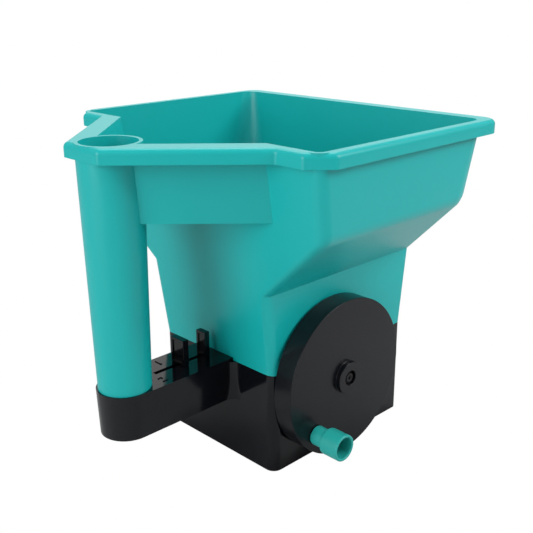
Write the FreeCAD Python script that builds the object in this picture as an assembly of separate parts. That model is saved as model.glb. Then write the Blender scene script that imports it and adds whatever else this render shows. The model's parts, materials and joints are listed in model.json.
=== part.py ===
import FreeCAD, Part
import math
import os
from FreeCAD import Vector

# Hand-cranked dial seed sower. Millimetres. The floor is z = 0, the throw side is +X,
# the handle is at -X and the crank wheel is on the -Y side.

# Base block
base_length = 117.2
base_width = 98.8
rear_corner = 6.0
front_corner = 2.5
least_corner = 0.5
wall = 2.5
base_floor = 2.5
post_inset = 9.0
post_radius = 4.5
post_gap = 0.1
boss_height = 2.0
boss_step = 0.5

# Crank wheel with its inner ring of teeth
crank_x = -11.7
wheel_radius = 48.5
wheel_floor_gap = 3.7
wheel_gap = 2.0
wheel_depth = 12.8
wheel_skin = 2.5
hub_radius = 10.0
hub_raise = 3.0
hub_back_radius = 8.0
axle_radius = 3.5
axle_set_back = 0.6
axle_screw_recess = 4.6

# Gears
tooth_module = 1.5
ring_teeth = 44
pinion_teeth = 12
bevel_teeth = 12
pressure_angle = math.radians(20.0)
tooth_backlash = 0.45
addendum = 0.70
dedendum = 1.10
ring_back = 1.6
pinion_width = 6.5
bevel_face = 3.5
gear_side_gap = 0.8
bevel_hub_radius = 6.0
bevel_hub_length = 6.0

# Shafts, bushes and running fits
shaft_radius = 2.5
run_fit = 0.06
seat_fit = 0.02
bush_wall = 1.5
bush_flange = 1.2
bush_length = 7.0
bush_boss = 3.0
web_thickness = 4.0
web_to_bevel = 7.0
end_play = 0.2
collar_width = 2.0
shaft_end_out = 0.5

# Knob
knob_orbit = 38.8
knob_angle = -133.4
knob_length = 21.7
knob_neck_length = 9.3
knob_neck_radius = 5.8
knob_radius = 8.0
knob_recess_radius = 6.3
knob_recess_depth = 9.0
knob_pin_radius = 2.0
knob_pin_head = 3.6
knob_pin_seat = 5.0
knob_pin_cap = 1.0
knob_pin_room = 0.5
knob_boss_wall = 2.0
pin_slot_half = 0.5

# Impeller and its chamber
chamber_headroom = 1.8
chamber_plate = 2.5
chamber_fit = 0.3
chamber_chamfer = 22.0
chamber_wall = 2.0
chamber_corner = 1.0
shaft_room = 1.5
impeller_lift = 0.8
impeller_radius = 33.0
impeller_plate = 2.0
impeller_height = 11.0
impeller_vanes = 6
vane_thickness = 1.8
vane_inset = 1.0
impeller_hub = 7.0
chute_gap = 2.0
window_rise = 3.0

# Shutter, its rails and the flow stop
rail_gap = 1.0
rail_height = 2.0
rail_width = 2.6
slide_fit = 0.15
shutter_thickness = 2.0
shutter_side_gap = 0.27
shutter_cover = 1.0
shutter_tail = 5.9
shutter_travel_open = 15.0
shutter_travel_close = 13.0
tab_x = -86.1
tab_thickness = 4.0
tab_width = 11.4
tab_height = 16.0
tab_frame = 1.6
tab_recess = 0.7
neck_length = 1.8
neck_width = 2.4
neck_height = 8.0
slot_width = 3.0
slot_spare = 3.0
stop_x = -68.6
stop_thickness = 3.6
stop_width = 7.8
stop_height = 15.4
stop_flange = 1.2
lift_gap = 0.3

# Arm, deck and foot
arm_half_bottom = 15.1
arm_half_top = 16.0
arm_bottom = 37.8
deck_thickness = 3.1
deck_end_gap = 0.6
arm_root_fillet = 7.15
foot_boss = 5.5

# Hopper
spout_height = 2.5
hopper_floor = 2.5
neck_top = 112.8
shoulder_height = 154.4
hopper_top = 200.0
neck_half_top = 50.4
shoulder_half = 97.7
shoulder_round = 10.0
shoulder_steps = 4
top_half = 99.2
rear_slope = 0.137
neck_front_top = 63.3
shoulder_front = 62.0
top_front = 65.5
shoulder_front_corner = 22.0
top_front_corner = 10.5
drop_length = 20.0
drop_half = 10.0
drop_front = -20.0
drop_rim = 1.5

# Rim, bridge and handle tube
rim_front = 74.0
rim_half = 103.5
rim_rear = -81.5
rim_rear_chamfer = 11.6
rim_front_corner = 11.0
rim_corner = 3.2
rim_round = 3.0
rim_notch_half = 74.2
rim_depth = 7.8
rim_skin = 2.5
rim_overhang = 0.1
handle_x = -125.1
handle_end_half = 14.7
tube_top_radius = 17.2
tube_bottom_radius = 14.9
tube_wall = 2.0
tube_plug = 10.0
bridge_depth = 41.2
bridge_inset_top = 11.3
bridge_inset_bottom = 15.1
bridge_corner = 0.5

# Agitator
agitator_lift = 0.4
agitator_hub = 6.0
agitator_hub_height = 7.4
agitator_reach = 26.0
agitator_bar = 4.0
agitator_finger = 2.0
agitator_finger_height = 11.0
nut_height = 4.0
nut_radius = 4.5

# Screws and washer
screw_radius = 1.5
screw_fit = 0.06
screw_head = 2.8
screw_head_height = 2.0
screw_reach = 7.0
head_room = 0.4
screw_pass = 0.2
screw_well_radius = 3.1
screw_slot_half = 0.4
plate_post_radius = 3.5
plate_screw_side = 20.0
plate_screw_edge = 7.4
washer_thickness = 0.8

# Values worked out from those above
half_length = base_length / 2
half_width = base_width / 2
crank_z = wheel_radius + wheel_floor_gap
ring_pitch = tooth_module * ring_teeth / 2
pinion_pitch = tooth_module * pinion_teeth / 2
bevel_pitch = tooth_module * bevel_teeth / 2
tip = addendum * tooth_module
root = dedendum * tooth_module
drive_z = crank_z - (ring_pitch - pinion_pitch)
wheel_front = -(half_width + wheel_gap + wheel_depth)
wheel_back = wheel_front + wheel_depth
disc_back = wheel_front + wheel_skin
bush_outer = shaft_radius + run_fit + bush_wall
chamber_z = drive_z + bevel_pitch + tip + chamber_headroom
chamber_top = chamber_z + chamber_plate
impeller_z = chamber_top + impeller_lift
impeller_top = impeller_z + impeller_height
rail_z = impeller_top + rail_gap
shutter_z = rail_z + rail_height + slide_fit
shutter_top = shutter_z + shutter_thickness
seam_z = shutter_top + lift_gap + spout_height
stop_flange_top = shutter_top + lift_gap + stop_flange
deck_under = stop_flange_top + lift_gap
deck_top = deck_under + deck_thickness
arm_inner = arm_half_bottom - wall
floor_top = seam_z + hopper_floor
rim_end = handle_x - tube_top_radius - rim_overhang
post_x = half_length - post_inset
post_y = half_width - post_inset
post_top = seam_z - spout_height - boss_height
shutter_front = drop_front + shutter_cover - shutter_travel_close
shutter_rear = tab_x - shutter_tail
slot_rear = tab_x - neck_length / 2 - shutter_travel_open - slot_spare
slot_front = stop_x + stop_thickness / 2 + slot_spare / 2
slope = math.atan2(shoulder_height - neck_top, shoulder_half - neck_half_top)
neck_stations = [(seam_z, half_width), (neck_top, neck_half_top)]
front_stations = [(seam_z, half_length), (neck_top, neck_front_top), (shoulder_height, shoulder_front),
                  (hopper_top, top_front)]
corner_stations = [(seam_z, front_corner), (neck_top, front_corner),
                   (shoulder_height, shoulder_front_corner), (hopper_top, top_front_corner)]
arm_stations = [(arm_bottom, arm_half_bottom), (deck_top, arm_half_top)]
crease_lift = wall * math.tan((math.pi / 2 - slope) / 2)
knob_x = crank_x + knob_orbit * math.cos(math.radians(knob_angle))
knob_z = crank_z + knob_orbit * math.sin(math.radians(knob_angle))
knob_start = wheel_front - lift_gap
knob_end = knob_start - knob_length
recess_floor = knob_end + knob_recess_depth
bevel_toe = bevel_pitch - bevel_face
inner_web_y = -(bevel_pitch + bevel_hub_length + web_to_bevel)
plate_screw_points = [(-post_x, plate_screw_side), (-post_x, -plate_screw_side),
                      (plate_screw_side, half_width - plate_screw_edge),
                      (plate_screw_side, -half_width + plate_screw_edge)]
corner_points = [(sx * post_x, sy * post_y) for sx in (-1, 1) for sy in (-1, 1)]


def block(x0, x1, y0, y1, z0, z1):
    return Part.makeBox(x1 - x0, y1 - y0, z1 - z0, Vector(x0, y0, z0))


def rod_z(x, y, z0, z1, radius):
    return Part.makeCylinder(radius, z1 - z0, Vector(x, y, z0), Vector(0, 0, 1))


def rod_y(x, z, y0, y1, radius):
    return Part.makeCylinder(radius, y1 - y0, Vector(x, y0, z), Vector(0, 1, 0))


def join(shapes):
    return shapes[0].fuse(shapes[1:]).removeSplitter()


def rounded_wire(points, radii, z):
    """A closed outline with each corner rounded by its own radius."""
    count = len(points)
    starts = []
    edges = []
    for i in range(count):
        here = Vector(points[i][0], points[i][1], z)
        before = (Vector(points[i - 1][0], points[i - 1][1], z) - here).normalize()
        after = points[(i + 1) % count]
        after = (Vector(after[0], after[1], z) - here).normalize()
        half = before.getAngle(after) / 2
        reach = radii[i] / math.tan(half)
        middle = (before + after).normalize() * (radii[i] / math.sin(half) - radii[i])
        starts.append((here + before * reach, here + middle, here + after * reach))
    for i in range(count):
        first, middle, last = starts[i]
        edges.append(Part.Arc(first, middle, last).toShape())
        edges.append(Part.LineSegment(last, starts[(i + 1) % count][0]).toShape())
    return Part.Wire(edges)


def outline_prism(points, radii, z0, z1):
    return Part.Face(rounded_wire(points, radii, z0)).extrude(Vector(0, 0, z1 - z0))


def offset_outline(points, distance):
    """The same outline moved inwards, its points running counter-clockwise."""
    result = []
    count = len(points)
    for i in range(count):
        x0, y0 = points[i - 1]
        x1, y1 = points[i]
        x2, y2 = points[(i + 1) % count]
        a = math.atan2(y1 - y0, x1 - x0)
        b = math.atan2(y2 - y1, x2 - x1)
        turn = (a + b) / 2
        reach = distance / math.cos((a - b) / 2)
        result.append((x1 - math.sin(turn) * reach, y1 + math.cos(turn) * reach))
    return result


def rectangle(x0, x1, half):
    return [(x0, -half), (x1, -half), (x1, half), (x0, half)]


def along(z, stations):
    """The value at a height, on straight runs between stations of height and value."""
    for (z0, low), (z1, high) in zip(stations, stations[1:]):
        if z <= z1:
            break
    return low + (high - low) * (z - z0) / (z1 - z0)


def body_section(z, half, inset):
    """One level of the hopper's four walls, drawn in by inset."""
    x0 = -half_length - rear_slope * (z - seam_z) + inset
    x1 = along(z, front_stations) - inset
    front = max(along(z, corner_stations) - inset, least_corner)
    rear = rear_corner - inset
    return rounded_wire(rectangle(x0, x1, half - inset), [rear, front, front, rear], z)


def shoulder_bend():
    """Height and half width at steps round the bend from the slope to the upper walls."""
    lean = math.atan2(top_half - shoulder_half, hopper_top - shoulder_height)
    turn = math.pi / 2 - lean - slope
    reach = shoulder_round * math.tan(turn / 2)
    centre_half = shoulder_half - reach * math.cos(slope) - shoulder_round * math.sin(slope)
    centre_z = shoulder_height - reach * math.sin(slope) + shoulder_round * math.cos(slope)
    steps = []
    for i in range(shoulder_steps + 1):
        angle = slope + turn * i / shoulder_steps
        steps.append((centre_z - shoulder_round * math.cos(angle),
                      centre_half + shoulder_round * math.sin(angle)))
    return steps


def body_loft(inset, lift, z_low):
    levels = [(z_low, along(z_low, neck_stations)), (neck_top + lift, neck_half_top)]
    levels += [(z + lift, half) for z, half in shoulder_bend()]
    levels.append((hopper_top, top_half))
    return Part.makeLoft([body_section(z, half, inset) for z, half in levels], True, True)


def rim_points():
    return [(rim_front, -rim_half), (rim_front, rim_half),
            (rim_rear + rim_rear_chamfer, rim_half), (rim_rear, rim_half - rim_rear_chamfer),
            (rim_rear, rim_notch_half), (rim_end, handle_end_half),
            (rim_end, -handle_end_half), (rim_rear, -rim_notch_half),
            (rim_rear, -rim_half + rim_rear_chamfer), (rim_rear + rim_rear_chamfer, -rim_half)]


def make_rim():
    points = rim_points()
    radii = [rim_front_corner if x > 0 else rim_corner for x, y in points]
    plate = outline_prism(points, radii, hopper_top - rim_depth, hopper_top)
    top = [e for e in plate.Edges if min(v.Point.z for v in e.Vertexes) > hopper_top - rim_skin]
    plate = plate.makeFillet(rim_round, top)
    inner = [max(radius - rim_skin, least_corner) for radius in radii]
    pocket = outline_prism(offset_outline(points, rim_skin), inner, hopper_top - rim_depth,
                           hopper_top - rim_skin)
    return plate.cut(pocket)


def bridge_level(inset, z):
    """One level of the bridge from the rear wall to the handle tube, inset from the rim."""
    run = rim_rear - rim_end
    rise = rim_notch_half - handle_end_half
    shift = inset * math.hypot(run, rise) / run
    inner_x = -half_length - wall
    inner_half = rim_notch_half - shift + (inner_x - rim_rear) * rise / run
    end_half = rim_notch_half - shift + (handle_x - rim_rear) * rise / run
    points = [(handle_x, -end_half), (inner_x, -inner_half), (inner_x, inner_half), (handle_x, end_half)]
    return rounded_wire(points, [bridge_corner] * 4, z)


def bridge_loft(inset, z_low):
    low = bridge_inset_bottom + inset
    high = bridge_inset_top + inset
    return Part.makeLoft([bridge_level(low, z_low), bridge_level(high, hopper_top)], True, True)


def make_hopper():
    bridge_z = hopper_top - bridge_depth
    outer = body_loft(0.0, 0.0, seam_z)
    inner = body_loft(wall, crease_lift, floor_top)
    bridge = bridge_loft(0.0, bridge_z)
    trough = bridge_loft(wall, bridge_z + wall)
    tube = Part.makeCone(tube_bottom_radius, tube_top_radius, hopper_top - deck_top,
                         Vector(handle_x, 0, deck_top), Vector(0, 0, 1))
    bore = Part.makeCone(tube_bottom_radius - tube_wall, tube_top_radius - tube_wall,
                         hopper_top - deck_top - tube_plug, Vector(handle_x, 0, deck_top + tube_plug),
                         Vector(0, 0, 1))
    foot_room = rod_z(handle_x, 0, deck_top, deck_top + tube_plug - wall, tube_bottom_radius - tube_wall)
    foot_room = foot_room.cut(rod_z(handle_x, 0, deck_top, deck_top + tube_plug, foot_boss))
    body = outer.fuse([bridge, make_rim()])
    body = body.cut(inner.fuse(trough))
    body = body.fuse(tube)
    spout = block(drop_front - drop_length - drop_rim, drop_front + drop_rim,
                  -drop_half - drop_rim, drop_half + drop_rim, seam_z - spout_height, seam_z)
    bosses = [rod_z(x, y, post_top, seam_z, post_radius - boss_step) for x, y in corner_points]
    body = body.fuse([spout] + bosses)
    holes = [rod_z(x, y, post_top, seam_z + hopper_floor / 2, screw_radius + screw_fit)
             for x, y in corner_points]
    holes.append(block(drop_front - drop_length, drop_front, -drop_half, drop_half,
                       seam_z - spout_height, floor_top))
    holes.append(rod_z(crank_x, 0, seam_z, floor_top, bush_outer + seat_fit))
    holes.append(rod_z(handle_x, 0, deck_top, deck_top + screw_reach + head_room, screw_radius + screw_fit))
    return body.cut([bore, foot_room] + holes).removeSplitter()


def arm_block(x0, x1, z0, z1):
    """A length of the arm, its sides leaning out a little towards the top."""
    low = along(z0, arm_stations)
    high = along(z1, arm_stations)
    corners = [Vector(x0, y, z) for y, z in ((-low, z0), (low, z0), (high, z1), (-high, z1), (-low, z0))]
    return Part.Face(Part.makePolygon(corners)).extrude(Vector(x1 - x0, 0, 0))


def make_arm():
    """The arm, its deck and the round foot under the handle tube, hollow inside."""
    reach = -half_length
    foot = Part.makeCone(arm_half_bottom, arm_half_top, deck_top - arm_bottom,
                         Vector(handle_x, 0, arm_bottom), Vector(0, 0, 1))
    solid = [arm_block(handle_x, reach + wall, arm_bottom, seam_z),
             arm_block(handle_x, reach - deck_end_gap, seam_z, deck_top), foot]
    for side in (-1, 1):
        y0, y1 = sorted((side * arm_half_bottom, side * (arm_half_bottom + arm_root_fillet)))
        corner = block(reach - arm_root_fillet, reach, y0, y1, arm_bottom, seam_z)
        scoop = rod_z(reach - arm_root_fillet, side * (arm_half_bottom + arm_root_fillet),
                      arm_bottom, seam_z, arm_root_fillet)
        solid.append(corner.cut(scoop))
    return join(solid)


def arm_hollow():
    room = [block(handle_x, -half_length + wall, -arm_inner, arm_inner, arm_bottom + wall, deck_under),
            rod_z(handle_x, 0, arm_bottom + wall, deck_under, arm_inner)]
    post = rod_z(handle_x, 0, arm_bottom, deck_top, foot_boss)
    return join(room).cut(post)


def make_rails():
    """Ledges that carry the shutter plate, and the walls that guide its edges."""
    front = drop_front + drop_rim
    rails = []
    for side in (-1, 1):
        low = arm_inner - rail_width
        y0, y1 = sorted((side * low, side * arm_half_bottom))
        rails.append(block(slot_rear, front, y0, y1, rail_z, rail_z + rail_height))
        y0, y1 = sorted((side * arm_inner, side * arm_half_bottom))
        rails.append(block(-half_length, front, y0, y1, rail_z, shutter_top))
    return rails


def make_base():
    outline = rectangle(-half_length, half_length, half_width)
    outer_radii = [rear_corner, front_corner, front_corner, rear_corner]
    inner_radii = [max(radius - wall, least_corner) for radius in outer_radii]
    shell = outline_prism(outline, outer_radii, 0, seam_z)
    inside = outline_prism(offset_outline(outline, wall), inner_radii, base_floor, seam_z)
    base = join([shell, make_arm()]).cut(inside.fuse(arm_hollow()))
    added = make_rails()
    added += [rod_z(x, y, 0, post_top - post_gap, post_radius) for x, y in corner_points]
    added += [rod_z(x, y, 0, chamber_z, plate_post_radius) for x, y in plate_screw_points]
    added.append(rod_z(crank_x, 0, 0, bush_flange + base_floor + bush_length, bush_outer + bush_boss))
    added.append(rod_y(crank_x, drive_z, -half_width, -half_width + bush_length, bush_outer + bush_boss))
    web_half = bush_outer + bush_boss
    added.append(block(crank_x - web_half, crank_x + web_half, inner_web_y, inner_web_y + web_thickness,
                       0, drive_z + web_half))
    added.append(rod_y(crank_x, crank_z, -half_width - wheel_gap + end_play, -half_width, hub_back_radius))
    added.append(rod_y(crank_x, crank_z, axle_end(), -half_width + wall, axle_radius))
    base = base.fuse(added)
    cuts = []
    for x, y in corner_points:
        cuts.append(rod_z(x, y, 0, post_top - post_gap - wall, screw_well_radius))
        cuts.append(rod_z(x, y, 0, seam_z, screw_radius + screw_pass))
    for x, y in plate_screw_points:
        cuts.append(rod_z(x, y, chamber_z - screw_reach - head_room, chamber_z, screw_radius + screw_fit))
    cuts.append(rod_z(crank_x, 0, base_floor, seam_z, bush_outer + seat_fit))
    cuts.append(rod_y(crank_x, drive_z, -half_width, 0, bush_outer + seat_fit))
    cuts.append(rod_y(crank_x, crank_z, axle_end(), axle_end() + screw_reach + head_room,
                      screw_radius + screw_fit))
    cuts.append(block(-half_length, -half_length + wall, -arm_inner, arm_inner,
                      rail_z + rail_height, deck_under))
    cuts.append(block(slot_rear, slot_front, -slot_width / 2, slot_width / 2, deck_under, deck_top))
    cuts.append(rod_z(handle_x, 0, arm_bottom, deck_under - wall, screw_head + head_room))
    cuts.append(rod_z(handle_x, 0, arm_bottom, deck_top, screw_radius + screw_pass))
    throw_half = impeller_radius + chute_gap
    cuts.append(block(half_length - wall, half_length, -throw_half, throw_half, chamber_top,
                      impeller_top + window_rise))
    return base.cut(cuts).removeSplitter()


def axle_end():
    return wheel_front + axle_set_back


def involute(angle):
    return math.tan(angle) - angle


def flank(teeth, radius, widen):
    """Half the tooth angle at a radius, with the backlash taken off or added."""
    pitch = tooth_module * teeth / 2
    rolled = math.acos(min(1.0, pitch * math.cos(pressure_angle) / radius))
    half = math.pi / (2 * teeth) + widen * tooth_backlash / (4 * pitch)
    return half + involute(pressure_angle) - involute(rolled)


def gear_wire(teeth, low, high, widen, scale, height):
    """A closed toothed outline around the Z axis, the first tooth on the +X axis."""
    points = []
    for i in range(teeth):
        centre = 2 * math.pi * i / teeth
        for side, radii in ((-1, (low, (low + high) / 2, high)), (1, (high, (low + high) / 2, low))):
            for radius in radii:
                angle = centre + side * flank(teeth, radius, widen)
                points.append(Vector(scale * radius * math.cos(angle),
                                     scale * radius * math.sin(angle), height))
    points.append(points[0])
    return Part.makePolygon(points)


def gear_prism(teeth, low, high, widen, length):
    return Part.Face(gear_wire(teeth, low, high, widen, 1.0, 0.0)).extrude(Vector(0, 0, length))


def bevel_gear():
    """A mitre gear on the Z axis, its large end at z = 0 and its teeth narrowing upwards."""
    small = bevel_toe / bevel_pitch
    low = bevel_pitch - root
    high = bevel_pitch + tip
    teeth = Part.makeLoft([gear_wire(bevel_teeth, low, high, -1, 1.0, 0.0),
                           gear_wire(bevel_teeth, low, high, -1, small, bevel_face)], True, True)
    hub = Part.makeCylinder(bevel_hub_radius, bevel_hub_length, Vector(0, 0, -bevel_hub_length))
    bore = Part.makeCylinder(shaft_radius + seat_fit, bevel_face + bevel_hub_length,
                             Vector(0, 0, -bevel_hub_length))
    return teeth.fuse(hub).cut(bore)


def along_y(shape, x, y, z):
    """Lay a Z-axis shape along +Y, its +X side turned to -Z."""
    shape = shape.copy()
    shape.rotate(Vector(0, 0, 0), Vector(1, 0, 0), -90)
    shape.rotate(Vector(0, 0, 0), Vector(0, 1, 0), 90)
    shape.translate(Vector(x, y, z))
    return shape


def make_wheel():
    rim = rod_y(crank_x, crank_z, wheel_front, wheel_back, wheel_radius)
    rim = rim.cut(rod_y(crank_x, crank_z, disc_back, wheel_back, wheel_radius - wheel_skin))
    ring_length = wheel_depth - wheel_skin - 2 * gear_side_gap
    ring = Part.makeCylinder(ring_pitch + root + ring_back, ring_length)
    space = gear_prism(ring_teeth, ring_pitch - tip, ring_pitch + root, 1, ring_length)
    ring = ring.cut(space.fuse(Part.makeCylinder(ring_pitch - tip, ring_length)))
    ring = along_y(ring, crank_x, disc_back, crank_z)
    hub = rod_y(crank_x, crank_z, wheel_front - hub_raise, wheel_front, hub_radius)
    hub_back = rod_y(crank_x, crank_z, disc_back, wheel_back, hub_back_radius)
    boss = rod_y(knob_x, knob_z, disc_back, disc_back + knob_pin_seat, knob_pin_radius + knob_boss_wall)
    wheel = join([rim, ring, hub, hub_back, boss])
    cuts = [rod_y(crank_x, crank_z, wheel_front - hub_raise, wheel_back, axle_radius + run_fit),
            rod_y(crank_x, crank_z, wheel_front - hub_raise, axle_end() + end_play, axle_screw_recess),
            rod_y(knob_x, knob_z, wheel_front, disc_back + knob_pin_seat - knob_pin_cap,
                  knob_pin_radius + seat_fit)]
    return wheel.cut(cuts)


def make_wheel_washer():
    face = axle_end()
    ring = rod_y(crank_x, crank_z, face - washer_thickness, face, axle_screw_recess - end_play)
    return ring.cut(rod_y(crank_x, crank_z, face - washer_thickness, face, screw_radius + screw_fit))


def screw(reach):
    """A pan-head screw on the Z axis, its head below z = 0 and its shank above."""
    head = Part.makeCylinder(screw_head, screw_head_height, Vector(0, 0, -screw_head_height))
    for dx, dy in ((screw_head / 2, screw_slot_half), (screw_slot_half, screw_head / 2)):
        head = head.cut(block(-dx, dx, -dy, dy, -screw_head_height, -screw_head_height / 2))
    return head.fuse(Part.makeCylinder(screw_radius, reach))


def make_wheel_screw():
    reach = screw_reach + washer_thickness
    return along_y(screw(reach), crank_x, axle_end() - washer_thickness, crank_z)


def make_knob():
    neck = rod_y(knob_x, knob_z, knob_start - knob_neck_length, knob_start, knob_neck_radius)
    body = rod_y(knob_x, knob_z, knob_end, knob_start - knob_neck_length, knob_radius)
    recess = rod_y(knob_x, knob_z, knob_end, recess_floor, knob_recess_radius)
    bore = rod_y(knob_x, knob_z, recess_floor, knob_start, knob_pin_radius + run_fit)
    return neck.fuse(body).cut([recess, bore])


def make_knob_pin():
    pin_end = disc_back + knob_pin_seat - knob_pin_cap - knob_pin_room
    shank = rod_y(knob_x, knob_z, recess_floor - end_play, pin_end, knob_pin_radius)
    head = rod_y(knob_x, knob_z, recess_floor - end_play - screw_head_height, recess_floor - end_play,
                 knob_pin_head)
    slit = block(knob_x - knob_pin_head, knob_x + knob_pin_head, recess_floor - end_play - screw_head_height,
                 recess_floor - end_play - screw_head_height / 2,
                 knob_z - pin_slot_half, knob_z + pin_slot_half)
    return shank.fuse(head).cut(slit)


def pinion_y():
    return disc_back + gear_side_gap


def make_pinion():
    gear = gear_prism(pinion_teeth, pinion_pitch - root, pinion_pitch + tip, -1, pinion_width)
    gear = gear.cut(Part.makeCylinder(shaft_radius + seat_fit, pinion_width))
    return along_y(gear, crank_x, pinion_y(), drive_z)


def make_drive_shaft():
    return rod_y(crank_x, drive_z, pinion_y(), -bevel_toe + shaft_end_out, shaft_radius)


def make_drive_bevel():
    return along_y(bevel_gear(), crank_x, -bevel_pitch, drive_z)


def bush(length):
    """A flanged bush on the Z axis, its flange below z = 0."""
    body = Part.makeCylinder(bush_outer, length)
    flange = Part.makeCylinder(bush_outer + bush_wall, bush_flange, Vector(0, 0, -bush_flange))
    bore = Part.makeCylinder(shaft_radius + run_fit, length + bush_flange, Vector(0, 0, -bush_flange))
    return body.fuse(flange).cut(bore)


def make_outer_bush():
    return along_y(bush(bush_length), crank_x, -half_width, drive_z)


def make_inner_bush():
    return along_y(bush(web_thickness), crank_x, inner_web_y, drive_z)


def make_drive_collar():
    start = -half_width + bush_length + end_play
    ring = rod_y(crank_x, drive_z, start, start + collar_width, shaft_radius + bush_wall)
    return ring.cut(rod_y(crank_x, drive_z, start, start + collar_width, shaft_radius + seat_fit))


def make_lower_bush():
    turned = bush(bush_length)
    turned.rotate(Vector(0, 0, 0), Vector(1, 0, 0), 180)
    turned.translate(Vector(crank_x, 0, base_floor + bush_flange + bush_length))
    return turned


def make_upper_bush():
    turned = bush(hopper_floor)
    turned.rotate(Vector(0, 0, 0), Vector(1, 0, 0), 180)
    turned.translate(Vector(crank_x, 0, floor_top))
    return turned


def agitator_z():
    return floor_top + bush_flange + agitator_lift


def shaft_end():
    return agitator_z() + agitator_hub_height + nut_height


def make_impeller_shaft():
    return rod_z(crank_x, 0, base_floor + end_play / 2, shaft_end(), shaft_radius)


def make_impeller_bevel():
    gear = bevel_gear()
    gear.rotate(Vector(0, 0, 0), Vector(0, 0, 1), -90 + 180 / bevel_teeth)
    gear.translate(Vector(crank_x, 0, drive_z - bevel_pitch))
    return gear


def make_impeller():
    plate = rod_z(crank_x, 0, impeller_z, impeller_z + impeller_plate, impeller_radius)
    hub = rod_z(crank_x, 0, impeller_z, impeller_top, impeller_hub)
    vanes = []
    for i in range(impeller_vanes):
        vane = block(impeller_hub / 2, impeller_radius - vane_inset, -vane_thickness / 2, vane_thickness / 2,
                     impeller_z, impeller_top)
        vane.rotate(Vector(0, 0, 0), Vector(0, 0, 1), 360.0 * i / impeller_vanes)
        vane.translate(Vector(crank_x, 0, 0))
        vanes.append(vane)
    bore = rod_z(crank_x, 0, impeller_z, impeller_top, shaft_radius + seat_fit)
    return join([plate, hub] + vanes).cut(bore)


def make_chamber_floor():
    x = half_length - wall - chamber_fit
    y = half_width - wall - chamber_fit
    c = chamber_chamfer
    points = [(-x + c, -y), (x - c, -y), (x, -y + c), (x, y - c),
              (x - c, y), (-x + c, y), (-x, y - c), (-x, -y + c)]
    plate = outline_prism(points, [chamber_corner] * len(points), chamber_z, chamber_top)
    guide = impeller_radius + chute_gap
    ring = rod_z(crank_x, 0, chamber_top, impeller_top, guide + chamber_wall)
    ring = ring.cut(rod_z(crank_x, 0, chamber_top, impeller_top, guide))
    ring = ring.cut(block(crank_x, crank_x + 2 * guide, -2 * guide, 2 * guide, chamber_top, impeller_top))
    sides = []
    for side in (-1, 1):
        y0, y1 = sorted((side * guide, side * (guide + chamber_wall)))
        sides.append(block(crank_x, post_x - post_radius - chamber_fit, y0, y1, chamber_top, impeller_top))
    body = join([plate, ring] + sides)
    cuts = [rod_z(crank_x, 0, chamber_z, chamber_top, shaft_radius + shaft_room)]
    for px, py in plate_screw_points:
        cuts.append(rod_z(px, py, chamber_z, chamber_top, screw_radius + screw_pass))
        cuts.append(rod_z(px, py, chamber_top, impeller_top, screw_head + chamber_fit))
    return body.cut(cuts)


def make_chamber_screws():
    screws = []
    for x, y in plate_screw_points:
        one = screw(screw_reach + chamber_plate)
        one.rotate(Vector(0, 0, 0), Vector(1, 0, 0), 180)
        one.translate(Vector(x, y, chamber_top))
        screws.append(one)
    return Part.makeCompound(screws)


def make_hopper_screws():
    screws = []
    for x, y in corner_points:
        one = screw(screw_reach)
        one.translate(Vector(x, y, post_top - post_gap - wall))
        screws.append(one)
    return Part.makeCompound(screws)


def make_handle_screw():
    one = screw(wall + deck_thickness + screw_reach)
    one.translate(Vector(handle_x, 0, deck_under - wall))
    return one


def make_shutter():
    half = arm_inner - shutter_side_gap
    plate = block(shutter_rear, shutter_front, -half, half, shutter_z, shutter_top)
    neck = block(tab_x - neck_length / 2, tab_x + neck_length / 2, -neck_width / 2, neck_width / 2,
                 shutter_top, deck_top + neck_height)
    return plate.fuse(neck).removeSplitter()


def make_tab():
    z0 = deck_top + lift_gap
    z1 = z0 + tab_height
    half = tab_width / 2
    body = block(tab_x - tab_thickness / 2, tab_x + tab_thickness / 2, -half, half, z0, z1)
    for side in (-1, 1):
        face = tab_x + side * tab_thickness / 2
        x0, x1 = sorted((face, face - side * tab_recess))
        body = body.cut(block(x0, x1, -half + tab_frame, half - tab_frame, z0 + tab_frame, z1 - tab_frame))
    pocket = block(tab_x - neck_length / 2 - seat_fit, tab_x + neck_length / 2 + seat_fit,
                   -neck_width / 2 - seat_fit, neck_width / 2 + seat_fit,
                   z0, deck_top + neck_height + lift_gap)
    return body.cut(pocket)


def make_flow_stop():
    z0 = deck_top + slide_fit
    post = block(stop_x - stop_thickness / 2, stop_x + stop_thickness / 2, -stop_width / 2, stop_width / 2,
                 z0, z0 + stop_height)
    neck = block(stop_x - stop_thickness / 2, stop_x + stop_thickness / 2, -neck_width / 2, neck_width / 2,
                 shutter_top + lift_gap, z0)
    flange = block(stop_x - stop_thickness / 2, stop_x + stop_thickness / 2, -stop_width / 2, stop_width / 2,
                   shutter_top + lift_gap, stop_flange_top)
    groove = block(stop_x - stop_thickness / 2, stop_x - stop_thickness / 2 + tab_recess,
                   -stop_width / 2 + tab_frame, stop_width / 2 - tab_frame,
                   z0 + tab_frame, z0 + stop_height - tab_frame)
    return join([post, neck, flange]).cut(groove)


def make_agitator():
    z0 = agitator_z()
    hub = rod_z(crank_x, 0, z0, z0 + agitator_hub_height, agitator_hub)
    bar = block(crank_x - agitator_reach, crank_x + agitator_reach, -agitator_bar / 2, agitator_bar / 2,
                z0, z0 + agitator_bar)
    fingers = [rod_z(crank_x + side * (agitator_reach - agitator_finger), 0, z0,
                     z0 + agitator_bar + agitator_finger_height, agitator_finger) for side in (-1, 1)]
    bore = rod_z(crank_x, 0, z0, z0 + agitator_hub_height, shaft_radius + seat_fit)
    return join([hub, bar] + fingers).cut(bore)


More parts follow.
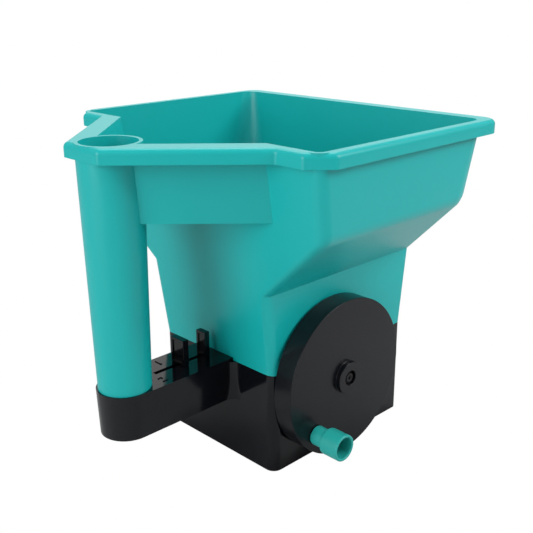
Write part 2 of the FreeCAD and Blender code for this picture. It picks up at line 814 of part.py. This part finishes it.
def make_agitator_nut():
    z0 = agitator_z() + agitator_hub_height
    corners = [Vector(crank_x + nut_radius * math.cos(math.radians(60 * i)),
                      nut_radius * math.sin(math.radians(60 * i)), z0) for i in range(7)]
    body = Part.Face(Part.makePolygon(corners)).extrude(Vector(0, 0, nut_height))
    return body.cut(rod_z(crank_x, 0, z0, z0 + nut_height, shaft_radius + seat_fit))


pieces = {
    "base_housing": make_base,
    "hopper": make_hopper,
    "chamber_floor": make_chamber_floor,
    "chamber_floor_screws": make_chamber_screws,
    "hopper_screws": make_hopper_screws,
    "handle_screw": make_handle_screw,
    "crank_wheel": make_wheel,
    "wheel_washer": make_wheel_washer,
    "wheel_screw": make_wheel_screw,
    "crank_knob": make_knob,
    "knob_pin": make_knob_pin,
    "drive_pinion": make_pinion,
    "drive_shaft": make_drive_shaft,
    "drive_bevel": make_drive_bevel,
    "drive_collar": make_drive_collar,
    "drive_outer_bush": make_outer_bush,
    "drive_inner_bush": make_inner_bush,
    "impeller_shaft": make_impeller_shaft,
    "impeller_bevel": make_impeller_bevel,
    "impeller": make_impeller,
    "shaft_lower_bush": make_lower_bush,
    "shaft_upper_bush": make_upper_bush,
    "agitator": make_agitator,
    "agitator_nut": make_agitator_nut,
    "shutter_slide": make_shutter,
    "shutter_tab": make_tab,
    "flow_stop": make_flow_stop,
}

os.makedirs("parts", exist_ok=True)
for name, maker in pieces.items():
    shape = maker()
    if not shape.isValid():
        print("not valid:", name)
    shape.exportStep("parts/" + name + ".step")
    print(name, "solids", len(shape.Solids), "volume", round(shape.Volume, 1))
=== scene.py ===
import json
import math

import bmesh
import bpy
from mathutils import Matrix, Vector


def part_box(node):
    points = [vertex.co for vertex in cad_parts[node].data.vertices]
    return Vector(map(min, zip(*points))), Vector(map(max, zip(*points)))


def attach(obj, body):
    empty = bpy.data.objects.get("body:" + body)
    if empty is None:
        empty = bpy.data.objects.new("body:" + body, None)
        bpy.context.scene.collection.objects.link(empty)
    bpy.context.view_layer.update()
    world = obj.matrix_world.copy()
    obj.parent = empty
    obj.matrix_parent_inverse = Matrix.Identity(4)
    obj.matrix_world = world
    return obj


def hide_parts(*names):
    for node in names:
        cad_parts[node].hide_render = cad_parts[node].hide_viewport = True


# The looks of the dial seed sower, in metres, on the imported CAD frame.
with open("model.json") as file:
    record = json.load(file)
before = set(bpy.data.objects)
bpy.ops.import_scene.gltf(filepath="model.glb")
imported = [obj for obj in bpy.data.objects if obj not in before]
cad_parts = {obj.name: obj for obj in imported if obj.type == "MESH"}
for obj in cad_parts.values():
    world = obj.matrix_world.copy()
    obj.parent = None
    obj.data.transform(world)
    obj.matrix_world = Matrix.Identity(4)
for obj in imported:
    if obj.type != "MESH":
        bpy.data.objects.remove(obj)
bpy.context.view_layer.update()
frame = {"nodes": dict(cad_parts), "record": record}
scene = bpy.context.scene
nodes = frame["nodes"]
print("frame loaded:", len(nodes), "nodes")


# Small helpers

def addNode(tree, kind, values=None, **settings):
    node = tree.nodes.new(kind)
    for key, value in settings.items():
        setattr(node, key, value)
    for key, value in (values or {}).items():
        node.inputs[key].default_value = value
    return node


def placed(name, data):
    thing = bpy.data.objects.new(name, data)
    scene.collection.objects.link(thing)
    return thing


def meshFrom(shape, name):
    mesh = bpy.data.meshes.new(name)
    shape.to_mesh(mesh)
    shape.free()
    return mesh


def newMeshPiece(name, mesh, body, material, replaced=()):
    piece = placed(name, mesh)
    mesh.materials.clear()
    mesh.materials.append(material)
    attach(piece, body)
    if replaced:
        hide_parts(*replaced)
    return piece


def applied(piece):
    # The mesh that the piece has once its modifiers or its curve are worked out.
    graph = bpy.context.evaluated_depsgraph_get()
    graph.update()
    return bpy.data.meshes.new_from_object(piece.evaluated_get(graph), depsgraph=graph)


def softened(node, values):
    # A merged copy of a CAD node with its sharp edges rounded.
    shell = bmesh.new()
    shell.from_mesh(nodes[node].data)
    bmesh.ops.remove_doubles(shell, verts=shell.verts, dist=values["merge"])
    bmesh.ops.dissolve_degenerate(shell, edges=shell.edges, dist=values["merge"])
    flat = math.radians(values["flatAngle"])
    bmesh.ops.dissolve_limit(shell, angle_limit=flat, verts=shell.verts, edges=shell.edges,
                             delimit={"NORMAL"})
    sharp = math.radians(values["sharpAngle"])
    edges = [e for e in shell.edges if len(e.link_faces) == 2 and e.calc_face_angle(0.0) > sharp]
    bmesh.ops.bevel(shell, geom=edges, offset=values["round"], offset_type="OFFSET",
                    segments=values["segments"], profile=values["profile"], affect="EDGES",
                    clamp_overlap=True, loop_slide=False)
    bmesh.ops.recalc_face_normals(shell, faces=shell.faces)
    mesh = meshFrom(shell, node + "Soft")
    for polygon in mesh.polygons:
        polygon.use_smooth = True
    holder = placed("holder", mesh)
    weighted = holder.modifiers.new("weighted", "WEIGHTED_NORMAL")
    weighted.mode = "FACE_AREA"
    weighted.weight = values["normalWeight"]
    weighted.keep_sharp = True
    result = applied(holder)
    bpy.data.objects.remove(holder)
    bpy.data.meshes.remove(mesh)
    return result


# Shader groups that every finish uses

grainPattern = {"detail": 3.0, "bumpDistance": 0.0004, "broadScale": 22.0, "broadDetail": 2.0,
                "middle": 0.5}


def grainGroup(values):
    group = bpy.data.node_groups.new("mouldGrain", "ShaderNodeTree")
    face = group.interface
    for label in ("Scale", "Depth", "Roughness", "Spread"):
        face.new_socket(label, in_out="INPUT", socket_type="NodeSocketFloat")
    face.new_socket("Roughness", in_out="OUTPUT", socket_type="NodeSocketFloat")
    face.new_socket("Normal", in_out="OUTPUT", socket_type="NodeSocketVector")
    start = addNode(group, "NodeGroupInput")
    end = addNode(group, "NodeGroupOutput")
    place = addNode(group, "ShaderNodeTexCoord")
    fine = addNode(group, "ShaderNodeTexNoise", {"Detail": values["detail"]})
    broad = addNode(group, "ShaderNodeTexNoise",
                    {"Scale": values["broadScale"], "Detail": values["broadDetail"]})
    bump = addNode(group, "ShaderNodeBump", {"Distance": values["bumpDistance"]})
    centred = addNode(group, "ShaderNodeMath", {1: values["middle"]}, operation="SUBTRACT")
    spread = addNode(group, "ShaderNodeMath", operation="MULTIPLY")
    total = addNode(group, "ShaderNodeMath", operation="ADD", use_clamp=True)
    link = group.links.new
    link(place.outputs["Object"], fine.inputs["Vector"])
    link(place.outputs["Object"], broad.inputs["Vector"])
    link(start.outputs["Scale"], fine.inputs["Scale"])
    link(start.outputs["Depth"], bump.inputs["Strength"])
    link(fine.outputs["Fac"], bump.inputs["Height"])
    link(broad.outputs["Fac"], centred.inputs[0])
    link(centred.outputs[0], spread.inputs[0])
    link(start.outputs["Spread"], spread.inputs[1])
    link(start.outputs["Roughness"], total.inputs[0])
    link(spread.outputs[0], total.inputs[1])
    link(total.outputs[0], end.inputs["Roughness"])
    link(bump.outputs["Normal"], end.inputs["Normal"])
    return group


tonePattern = {"scale": 14.0, "detail": 4.0, "roughness": 0.6}


def toneGroup(values):
    group = bpy.data.node_groups.new("plasticTone", "ShaderNodeTree")
    face = group.interface
    for label in ("Light", "Dark"):
        face.new_socket(label, in_out="INPUT", socket_type="NodeSocketColor")
    face.new_socket("Color", in_out="OUTPUT", socket_type="NodeSocketColor")
    start = addNode(group, "NodeGroupInput")
    end = addNode(group, "NodeGroupOutput")
    place = addNode(group, "ShaderNodeTexCoord")
    clouds = addNode(group, "ShaderNodeTexNoise",
                     {"Scale": values["scale"], "Detail": values["detail"],
                      "Roughness": values["roughness"]})
    mix = addNode(group, "ShaderNodeMix", data_type="RGBA")  # its colours: inputs 6 and 7, output 2
    link = group.links.new
    link(place.outputs["Object"], clouds.inputs["Vector"])
    link(clouds.outputs["Fac"], mix.inputs["Factor"])
    link(start.outputs["Light"], mix.inputs[6])
    link(start.outputs["Dark"], mix.inputs[7])
    link(mix.outputs[2], end.inputs["Color"])
    return group


grain = grainGroup(grainPattern)
tone = toneGroup(tonePattern)


def finish(name, values):
    material = bpy.data.materials.new(name)
    material.use_nodes = True
    tree = material.node_tree
    shader = tree.nodes["Principled BSDF"]
    surface = addNode(tree, "ShaderNodeGroup", node_tree=grain)
    colour = addNode(tree, "ShaderNodeGroup", node_tree=tone)
    surface.inputs["Scale"].default_value = values["grainScale"]
    surface.inputs["Depth"].default_value = values["grainDepth"]
    surface.inputs["Roughness"].default_value = values["roughness"]
    surface.inputs["Spread"].default_value = values["spread"]
    colour.inputs["Light"].default_value = (*values["light"], 1.0)
    colour.inputs["Dark"].default_value = (*values["dark"], 1.0)
    shader.inputs["IOR"].default_value = values["ior"]
    shader.inputs["Metallic"].default_value = values.get("metallic", 0.0)
    tree.links.new(colour.outputs["Color"], shader.inputs["Base Color"])
    tree.links.new(surface.outputs["Roughness"], shader.inputs["Roughness"])
    tree.links.new(surface.outputs["Normal"], shader.inputs["Normal"])
    return material


finishes = {
    "teal": {"light": (0.006, 0.430, 0.424), "dark": (0.005, 0.400, 0.394), "roughness": 0.34,
             "spread": 0.06, "grainScale": 1500.0, "grainDepth": 0.10, "ior": 1.40},
    "black": {"light": (0.0034, 0.0040, 0.0064), "dark": (0.0025, 0.0030, 0.0050), "roughness": 0.10,
              "spread": 0.04, "grainScale": 1100.0, "grainDepth": 0.03, "ior": 1.41},
    "satinBlack": {"light": (0.0055, 0.0062, 0.0085), "dark": (0.0044, 0.0050, 0.0070), "roughness": 0.26,
                   "spread": 0.05, "grainScale": 1300.0, "grainDepth": 0.05, "ior": 1.35},
    "knobTeal": {"light": (0.022, 0.400, 0.362), "dark": (0.017, 0.372, 0.336), "roughness": 0.36,
                 "spread": 0.06, "grainScale": 1500.0, "grainDepth": 0.10, "ior": 1.42},
    "acetal": {"light": (0.74, 0.73, 0.68), "dark": (0.66, 0.65, 0.60), "roughness": 0.35,
               "spread": 0.06, "grainScale": 1400.0, "grainDepth": 0.06, "ior": 1.48},
    "steel": {"light": (0.58, 0.58, 0.60), "dark": (0.48, 0.48, 0.51), "roughness": 0.30,
              "spread": 0.10, "grainScale": 1800.0, "grainDepth": 0.08, "ior": 1.6, "metallic": 1.0},
    "darkSteel": {"light": (0.010, 0.010, 0.012), "dark": (0.006, 0.006, 0.007), "roughness": 0.42,
                  "spread": 0.10, "grainScale": 1800.0, "grainDepth": 0.08, "ior": 1.30},
}
materials = {name: finish(name, values) for name, values in finishes.items()}
slotOf = {row["node"]: row["material_slot"] for row in frame["record"]["subparts"]}
darkNodes = {"wheel_screw", "wheel_washer", "knob_pin"}  # blackened steel
for name, node in nodes.items():
    node.data.materials.clear()
    node.data.materials.append(materials["darkSteel" if name in darkNodes else slotOf[name]])
print("materials ready:", len(materials))


# Moulded pieces, each a softened copy of its CAD node

mouldings = {
    "hopper": {"piece": "hopperMoulding", "body": "base", "round": 0.0006, "segments": 3},
    "base_housing": {"piece": "baseMoulding", "body": "base", "round": 0.0004, "segments": 2},
    "crank_wheel": {"piece": "wheelMoulding", "body": "crank", "round": 0.0006, "segments": 3,
                    "finish": "satinBlack"},
    "crank_knob": {"piece": "knobMoulding", "body": "knob", "round": 0.0007, "segments": 3,
                   "finish": "knobTeal"},
    "shutter_tab": {"piece": "tabMoulding", "body": "shutter", "round": 0.0002, "segments": 2},
    "flow_stop": {"piece": "stopMoulding", "body": "stop", "round": 0.0002, "segments": 2},
}
edgeRules = {"merge": 0.000002, "flatAngle": 0.6, "sharpAngle": 28.0, "profile": 0.5,
             "normalWeight": 60}
for node, values in mouldings.items():
    mesh = softened(node, {**edgeRules, **values})
    slot = slotOf[node]
    material = materials[values.get("finish", slot)]
    newMeshPiece(values["piece"], mesh, values["body"], material, [node])
    print("softened", node, len(mesh.polygons), "faces")


# Numbers raised on the deck beside the shutter's slot

deckNumbers = {"height": 0.0080, "raise": 0.00045, "sunk": 0.0001, "edge": 0.0001,
               "places": {"2": (-0.1060, -0.0092), "1": (-0.0947, 0.0094)}}


def makeNumber(text, spot, values, deckTop):
    glyph = bpy.data.curves.new("deckNumber", "FONT")
    glyph.body = text
    glyph.size = values["height"]
    glyph.extrude = (values["raise"] + values["sunk"]) / 2
    glyph.bevel_depth = values["edge"]
    glyph.align_x = "CENTER"
    glyph.align_y = "CENTER"
    holder = placed("holder", glyph)
    mesh = applied(holder)
    bpy.data.objects.remove(holder)
    bpy.data.curves.remove(glyph)
    lift = deckTop + (values["raise"] - values["sunk"]) / 2
    mesh.transform(Matrix.Translation((spot[0], spot[1], lift)))
    newMeshPiece("deckNumber" + text, mesh, "base", materials["black"])


deckTop = max(corner[2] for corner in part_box("base_housing"))
for text, spot in deckNumbers["places"].items():
    makeNumber(text, spot, deckNumbers, deckTop)
print("deck numbers ready:", len(deckNumbers["places"]))


# Screws with a cross recess and a thread, set out by Geometry Nodes

screwShape = {"headRadius": 0.0028, "headHeight": 0.0020, "headRound": 0.0004, "roundShare": 0.3,
              "shank": 0.0015, "pitch": 0.0006, "threadDepth": 0.00022, "tipRadius": 0.0011,
              "recessReach": 0.0014, "recessHalf": 0.0004, "recessDepth": 0.0010,
              "steps": 32, "merge": 0.000005}


def makeScrewMesh(values):
    # Turned round Z, with the head below zero and the shank rising to its tip.
    head = values["headRadius"]
    low = -values["headHeight"]
    soft = values["headRound"]
    small = values["roundShare"] * soft
    profile = [(0.0, low), (head - soft, low), (head - small, low + small), (head, low + soft),
               (head, -small), (head - small, 0.0), (values["shank"], 0.0)]
    turns = int((values["reach"] - 2 * values["pitch"]) / values["pitch"])
    for i in range(turns):
        height = values["pitch"] * (i + 0.5)
        profile.append((values["shank"], height))
        profile.append((values["shank"] - values["threadDepth"], height + values["pitch"] / 2))
    profile += [(values["tipRadius"], values["reach"]), (0.0, values["reach"])]
    shape = bmesh.new()
    ring = [shape.verts.new((x, 0.0, z)) for x, z in profile]
    sides = [shape.edges.new(pair) for pair in zip(ring, ring[1:])]
    bmesh.ops.spin(shape, geom=ring + sides, cent=(0, 0, 0), axis=(0, 0, 1), dvec=(0, 0, 0),
                   angle=2 * math.pi, steps=values["steps"], use_duplicate=False)
    bmesh.ops.remove_doubles(shape, verts=shape.verts, dist=values["merge"])
    bmesh.ops.recalc_face_normals(shape, faces=shape.faces)
    return meshFrom(shape, "screw")


def makeRecessMesh(values):
    # A cross that stands out of the head as far as it goes in.
    reach = values["recessReach"]
    half = values["recessHalf"]
    depth = values["recessDepth"]
    low = -values["headHeight"]
    shape = bmesh.new()
    around = []
    for turn in range(4):
        spin = Matrix.Rotation(turn * math.pi / 2, 4, "Z")
        around += [spin @ Vector((half, -half, 0)), spin @ Vector((reach, -half, 0)),
                   spin @ Vector((reach, half, 0))]
    lower = [shape.verts.new(p + Vector((0, 0, low - depth))) for p in around]
    face = shape.faces.new(lower)
    grown = bmesh.ops.extrude_face_region(shape, geom=[face])
    moved = [v for v in grown["geom"] if isinstance(v, bmesh.types.BMVert)]
    bmesh.ops.translate(shape, verts=moved, vec=(0, 0, 2 * depth))
    bmesh.ops.recalc_face_normals(shape, faces=shape.faces)
    return meshFrom(shape, "recess")


def makeScrew(values):
    screw = placed("screwBlank", makeScrewMesh(values))
    cutter = placed("recessCutter", makeRecessMesh(values))
    cut = screw.modifiers.new("recess", "BOOLEAN")
    cut.operation = "DIFFERENCE"
    cut.solver = "EXACT"
    cut.object = cutter
    mesh = applied(screw)
    for item in (screw, cutter):
        bpy.data.objects.remove(item)
    return placed("screwPattern", mesh)


def screwTree():
    tree = bpy.data.node_groups.new("screwSet", "GeometryNodeTree")
    face = tree.interface
    face.new_socket("Spots", in_out="INPUT", socket_type="NodeSocketGeometry")
    face.new_socket("Screw", in_out="INPUT", socket_type="NodeSocketObject")
    face.new_socket("Material", in_out="INPUT", socket_type="NodeSocketMaterial")
    face.new_socket("Geometry", in_out="OUTPUT", socket_type="NodeSocketGeometry")
    start = addNode(tree, "NodeGroupInput")
    end = addNode(tree, "NodeGroupOutput")
    pattern = addNode(tree, "GeometryNodeObjectInfo")
    copies = addNode(tree, "GeometryNodeInstanceOnPoints")
    real = addNode(tree, "GeometryNodeRealizeInstances")
    paint = addNode(tree, "GeometryNodeSetMaterial")
    link = tree.links.new
    link(start.outputs["Screw"], pattern.inputs["Object"])
    link(start.outputs["Spots"], copies.inputs["Points"])
    link(pattern.outputs["Geometry"], copies.inputs["Instance"])
    link(copies.outputs["Instances"], real.inputs["Geometry"])
    link(real.outputs["Geometry"], paint.inputs["Geometry"])
    link(start.outputs["Material"], paint.inputs["Material"])
    link(paint.outputs["Geometry"], end.inputs["Geometry"])
    return tree


def makeScrewSet(node, name, values, tree):
    # The screws stand at the corners of the node's box, as long as the box is high. A box that is
    # one head wide gives a single spot, because both its sides round to the same 0.01 mm.
    low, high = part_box(node)
    head = values["headRadius"]
    pattern = makeScrew({**values, "reach": high[2] - low[2] - values["headHeight"]})
    seat = low[2] + values["headHeight"]
    across = [sorted({round(low[i] + head, 5), round(high[i] - head, 5)}) for i in (0, 1)]
    points = bpy.data.meshes.new("screwSpots")
    points.from_pydata([(x, y, seat) for x in across[0] for y in across[1]], [], [])
    holder = placed("holder", points)
    spread = holder.modifiers.new("screwSet", "NODES")
    spread.node_group = tree
    sockets = {item.name: item.identifier for item in tree.interface.items_tree
               if item.in_out == "INPUT"}
    spread[sockets["Screw"]] = pattern
    spread[sockets["Material"]] = materials["steel"]
    mesh = applied(holder)
    for item in (holder, pattern):
        bpy.data.objects.remove(item)
    bpy.data.meshes.remove(points)
    newMeshPiece(name, mesh, "base", materials["steel"], [node])
    print("screw set", node, len(mesh.polygons), "faces")


screwNodes = screwTree()
screwSets = {"hopper_screws": "hopperScrewSet", "handle_screw": "handleScrewSet"}
for node, name in screwSets.items():
    makeScrewSet(node, name, screwShape, screwNodes)


# Camera at the photograph's angle

photo = {"azimuth": 44.33, "elevation": 18.93, "roll": -0.35, "target": (-0.01534, 0.0, 0.10687),
         "distance": 0.51305, "lens": 55.52, "sensor": 36.0, "clipStart": 0.01, "clipEnd": 20.0}


def makeCamera(values):
    turn = math.radians(values["azimuth"])
    rise = math.radians(values["elevation"])
    roll = math.radians(values["roll"])
    back = Vector((-math.sin(turn) * math.cos(rise), -math.cos(turn) * math.cos(rise), math.sin(rise)))
    level = (-back).cross(Vector((0, 0, 1))).normalized()
    upright = level.cross(-back)
    right = level * math.cos(roll) + upright * math.sin(roll)
    top = upright * math.cos(roll) - level * math.sin(roll)
    data = bpy.data.cameras.new("photoCamera")
    data.lens = values["lens"]
    data.sensor_width = values["sensor"]
    data.clip_start = values["clipStart"]
    data.clip_end = values["clipEnd"]
    camera = placed("photoCamera", data)
    spot = Vector(values["target"]) + back * values["distance"]
    camera.matrix_world = Matrix((
        (right.x, top.x, back.x, spot.x),
        (right.y, top.y, back.y, spot.y),
        (right.z, top.z, back.z, spot.z),
        (0, 0, 0, 1)))
    scene.camera = camera


makeCamera(photo)


# Floor, surroundings and light

studio = {"floor": 0.52, "floorSize": 6.0, "floorDrop": 0.0002,
          "low": 0.26, "lowAt": -0.1, "high": 0.46, "highAt": 0.9, "lampAim": (0.0, 0.0, 0.1)}
lamps = {
    "topLamp": {"spot": (0.25, 0.35, 1.15), "size": 1.0, "power": 7.4},
    "leftLamp": {"spot": (-1.15, 0.02, 0.45), "size": 0.9, "power": 8.5},
    "rightLamp": {"spot": (0.60, -1.05, 0.95), "size": 0.8, "power": 13.8},
    "backLamp": {"spot": (0.80, 0.85, 0.42), "size": 1.2, "power": 2.4},
}


def makeFloor(values):
    shape = bmesh.new()
    bmesh.ops.create_grid(shape, x_segments=2, y_segments=2, size=values["floorSize"])
    mesh = meshFrom(shape, "floor")
    floor = placed("floor", mesh)
    floor.location.z = -values["floorDrop"]
    material = bpy.data.materials.new("paleFloor")
    material.use_nodes = True
    tree = material.node_tree
    tree.nodes.clear()
    out = addNode(tree, "ShaderNodeOutputMaterial")
    mix = addNode(tree, "ShaderNodeMixShader")
    path = addNode(tree, "ShaderNodeLightPath")
    paper = addNode(tree, "ShaderNodeBsdfDiffuse", {"Color": (values["floor"],) * 3 + (1.0,)})
    glow = addNode(tree, "ShaderNodeEmission", {"Color": (1.0, 1.0, 1.0, 1.0), "Strength": 1.0})
    tree.links.new(path.outputs["Is Camera Ray"], mix.inputs[0])
    tree.links.new(paper.outputs[0], mix.inputs[1])
    tree.links.new(glow.outputs[0], mix.inputs[2])
    tree.links.new(mix.outputs[0], out.inputs["Surface"])
    mesh.materials.append(material)


def makeSurroundings(values):
    world = bpy.data.worlds.new("studio")
    world.use_nodes = True
    scene.world = world
    tree = world.node_tree
    tree.nodes.clear()
    out = addNode(tree, "ShaderNodeOutputWorld")
    mix = addNode(tree, "ShaderNodeMixShader")
    path = addNode(tree, "ShaderNodeLightPath")
    place = addNode(tree, "ShaderNodeTexCoord")
    parts = addNode(tree, "ShaderNodeSeparateXYZ")
    ramp = addNode(tree, "ShaderNodeMapRange",
                   {"From Min": values["lowAt"], "From Max": values["highAt"],
                    "To Min": values["low"], "To Max": values["high"]})
    soft = addNode(tree, "ShaderNodeBackground", {"Color": (1.0, 1.0, 1.0, 1.0)})
    plain = addNode(tree, "ShaderNodeBackground", {"Color": (1.0, 1.0, 1.0, 1.0), "Strength": 1.0})
    tree.links.new(place.outputs["Generated"], parts.inputs[0])
    tree.links.new(parts.outputs["Z"], ramp.inputs["Value"])
    tree.links.new(ramp.outputs["Result"], soft.inputs["Strength"])
    tree.links.new(path.outputs["Is Camera Ray"], mix.inputs[0])
    tree.links.new(soft.outputs[0], mix.inputs[1])
    tree.links.new(plain.outputs[0], mix.inputs[2])
    tree.links.new(mix.outputs[0], out.inputs["Surface"])


def makeLamp(name, values, aimSpot):
    data = bpy.data.lights.new(name, "AREA")
    data.shape = "DISK"
    data.size = values["size"]
    data.energy = values["power"]
    lamp = placed(name, data)
    lamp.location = values["spot"]
    aim = Vector(aimSpot) - Vector(values["spot"])
    lamp.rotation_mode = "QUATERNION"
    lamp.rotation_quaternion = aim.to_track_quat("-Z", "Y")


makeFloor(studio)
makeSurroundings(studio)
for name, values in lamps.items():
    makeLamp(name, values, studio["lampAim"])
scene.view_settings.view_transform = "Standard"
print("camera, floor and light ready")
